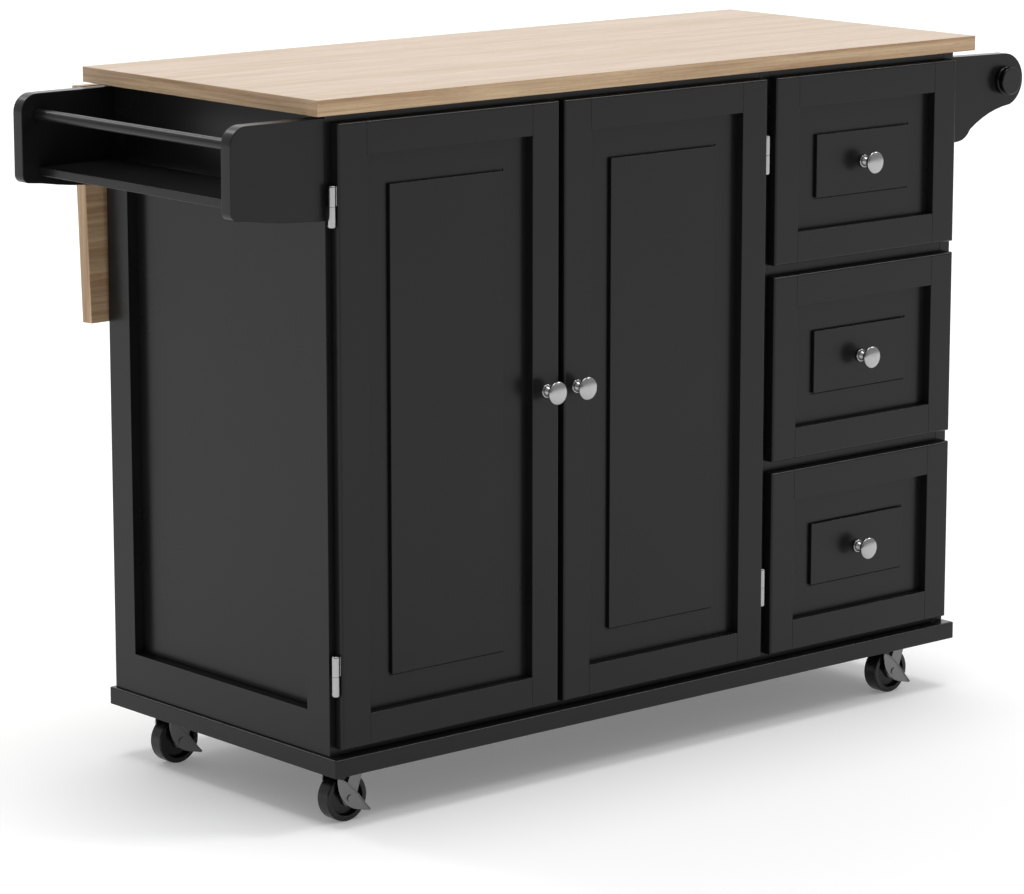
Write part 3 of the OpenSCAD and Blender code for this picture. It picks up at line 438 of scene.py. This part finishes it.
def moulded_plastic(name, colour, roughness, ior):
    """Injection moulded black plastic: dark and glossy, with a few handling marks in its gloss."""
    material, tree, surface = start_material(name, base_color=colour, ior=ior)
    place = add(tree, "ShaderNodeTexCoord", {})
    marks = add(tree, "ShaderNodeTexNoise", {"Scale": 160, "Detail": 4},
                {0: place.outputs["Object"]})
    gloss = add(tree, "ShaderNodeMapRange", {1: 0.35, 2: 0.75, 3: roughness, 4: roughness + 0.14},
                {0: marks.outputs[0]})
    tree.links.new(gloss.outputs[0], surface.inputs["Roughness"])
    bump = add(tree, "ShaderNodeBump", {"Strength": 0.15, "Distance": 0.01 * MM},
               {"Height": marks.outputs[0]})
    tree.links.new(bump.outputs[0], surface.inputs["Normal"])
    return material


# The pale oak of the face, and the deeper tan of the edges and back, which is partly the edge
# band's own tone and partly painted shade
PALE_OAK = ("#cab198", "#d6c2af")
TAN_OAK_AND_SHADE = ("#ab8864", "#ceb18e")
TOP_OAK = oak_laminate("oak laminate worktop", (0, 0, math.radians(90)), PALE_OAK, TAN_OAK_AND_SHADE, 2)
LEAF_OAK = oak_laminate("oak laminate leaf", (0, math.radians(90), 0), PALE_OAK, TAN_OAK_AND_SHADE, 1)
BLACK_LACQUER = sprayed_paint("satin black lacquer on board", ("#151515", "#18181a"), 0.28)
SATIN_NICKEL = satin_metal("satin nickel plated zinc", "#a9a9a9", 0.24, 0.5, (1, 1, 6))
ZINC_STEEL = satin_metal("zinc plated pressed steel", "#808080", 0.48, 1.2, (1, 1, 1))
WHEEL_NYLON = moulded_plastic("black moulded nylon", "#060607", 0.24, 1.42)
GLOSS_CAP = moulded_plastic("black glossy ABS", "#070708", 0.12, 1.36)


# ---------------------------------------------------------------- pieces

LACQUERED = ["side_frame_left", "side_frame_right", "side_panels", "face_frame", "back_frame",
             "back_panel", "cabinet_floor", "base_board", "base_moulding", "divider",
             "cupboard_shelf", "rack_brackets", "rack_shelf", "towel_bar", "holder_front_arm",
             "holder_back_arm"]
LACQUERED += [f"drawer_box_{row}" for row in ROWS]
for node in LACQUERED:
    dress(node, BLACK_LACQUER, BOARD_EASE)

for side in ("left", "right"):
    low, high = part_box(f"door_frame_{side}")
    boards = joined(front_boards(low, high, DOOR_STILE, DOOR_RAIL))
    as_piece(f"door_boards_{side}", boards, BLACK_LACQUER, f"door_{side}",
             [f"door_frame_{side}"])
    as_piece(f"door_field_{side}", raised_panel(low, high, DOOR_STILE, DOOR_RAIL), BLACK_LACQUER,
             f"door_{side}", [f"door_panel_{side}"])

dress("worktop", TOP_OAK, BOARD_EASE)
dress("drop_leaf", LEAF_OAK, BOARD_EASE)

for row in ROWS:
    low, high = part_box(f"drawer_front_{row}")
    boards = front_boards(low, high, DRAWER_STILE, DRAWER_STILE)
    boards.append(raised_panel(low, high, DRAWER_STILE, DRAWER_STILE))
    as_piece(f"drawer_boards_{row}", joined(boards), BLACK_LACQUER, f"drawer_{row}",
             [f"drawer_front_{row}"])

for node in ("door_hinge_plates", "door_hinges_left", "door_hinges_right"):
    dress(node, SATIN_NICKEL, CAST_EASE)
for node in ["door_knob_left", "door_knob_right"] + [f"drawer_knob_{row}" for row in ROWS]:
    turned_knob(node)

PRESSED = ["shelf_pins", "drawer_runners", "leaf_hinge_plates", "leaf_hinges", "leaf_stops",
           "prop_brackets", "prop_left", "prop_right", "caster_plates"]
PRESSED += [f"fork_{corner}" for corner in CORNERS]
for node in PRESSED:
    dress(node, ZINC_STEEL, STEEL_EASE)

for corner in CORNERS:
    dress(f"wheel_{corner}", WHEEL_NYLON, CAST_EASE)
    pressed_lever(corner)
dress("towel_rod", GLOSS_CAP, STEEL_EASE)


# ---------------------------------------------------------------- studio

def studio_floor(reach=30.0, glow=0.17):
    """A plain pale floor that runs out of sight, lit faintly from below to soften shadows."""
    bm = bmesh.new()
    bmesh.ops.create_circle(bm, cap_ends=True, segments=64, radius=reach)
    mesh = bpy.data.meshes.new("floor")
    bm.to_mesh(mesh)
    bm.free()
    floor = bpy.data.objects.new("floor", mesh)
    bpy.context.scene.collection.objects.link(floor)
    paint, _, _ = start_material("backlit white acrylic", base_color="#f4f4f4", roughness=0.9,
                                 emission_color="#ffffff", emission_strength=glow)
    mesh.materials.append(paint)


def studio_walls(backdrop=1.0, walls=0.42, glare=1.4, darkest=0.25):
    """A white backdrop, dimmer walls that light the object all round, a bright wall behind it
    and the dark end of the room before it."""
    world = bpy.data.worlds.new("white studio")
    world.use_nodes = True
    tree = world.node_tree
    way = add(tree, "ShaderNodeTexCoord", {})
    behind = add(tree, "ShaderNodeVectorMath", {"operation": "DOT_PRODUCT", 1: BRIGHT_WALL},
                 {0: way.outputs["Generated"]})
    wall = add(tree, "ShaderNodeMapRange", {1: 0.5, 2: 0.85, 3: walls, 4: glare},
               {0: behind.outputs[1]})
    before = add(tree, "ShaderNodeVectorMath", {"operation": "DOT_PRODUCT", 1: DARK_END},
                 {0: way.outputs["Generated"]})
    dim = add(tree, "ShaderNodeMapRange", {1: 0.7, 2: 0.95, 3: 1.0, 4: darkest},
              {0: before.outputs[1]})
    room = add(tree, "ShaderNodeMath", {"operation": "MULTIPLY"},
               {0: wall.outputs[0], 1: dim.outputs[0]})
    rays = add(tree, "ShaderNodeLightPath", {})
    level = add(tree, "ShaderNodeMix", {3: backdrop}, {0: rays.outputs[0], 2: room.outputs[0]})
    tree.links.new(level.outputs[0], tree.nodes["Background"].inputs["Strength"])
    tree.nodes["Background"].inputs["Color"].default_value = (1, 1, 1, 1)
    bpy.context.scene.world = world


def sky_light(name, source, angle, strength):
    """A far light from this direction, as wide as the angle in degrees and even everywhere."""
    light = bpy.data.lights.new(name, "SUN")
    light.angle = math.radians(angle)
    light.energy = strength
    lamp = bpy.data.objects.new(name, light)
    lamp.rotation_euler = Vector(source).to_track_quat("Z", "Y").to_euler()
    bpy.context.scene.collection.objects.link(lamp)


def photo_camera():
    """The photograph's camera, with no shift."""
    camera = bpy.data.cameras.new("camera")
    camera.sensor_width = SENSOR_WIDTH
    camera.lens = CAMERA_FOCUS_PX / PHOTO_WIDTH * SENSOR_WIDTH
    stand = bpy.data.objects.new("camera", camera)
    stand.location = CAMERA_PLACE
    stand.rotation_euler = (math.radians(90 - CAMERA_DIP), 0, math.radians(-CAMERA_TURN))
    bpy.context.scene.collection.objects.link(stand)
    bpy.context.scene.camera = stand


studio_floor()
studio_walls()
sky_light("overhead", OVERHEAD, 32, 1.35)
sky_light("back left", BACK_LEFT, 14, 0.35)
sky_light("front right", FRONT_RIGHT, 14, 0.6)
photo_camera()
bpy.context.scene.view_settings.view_transform = "Standard"
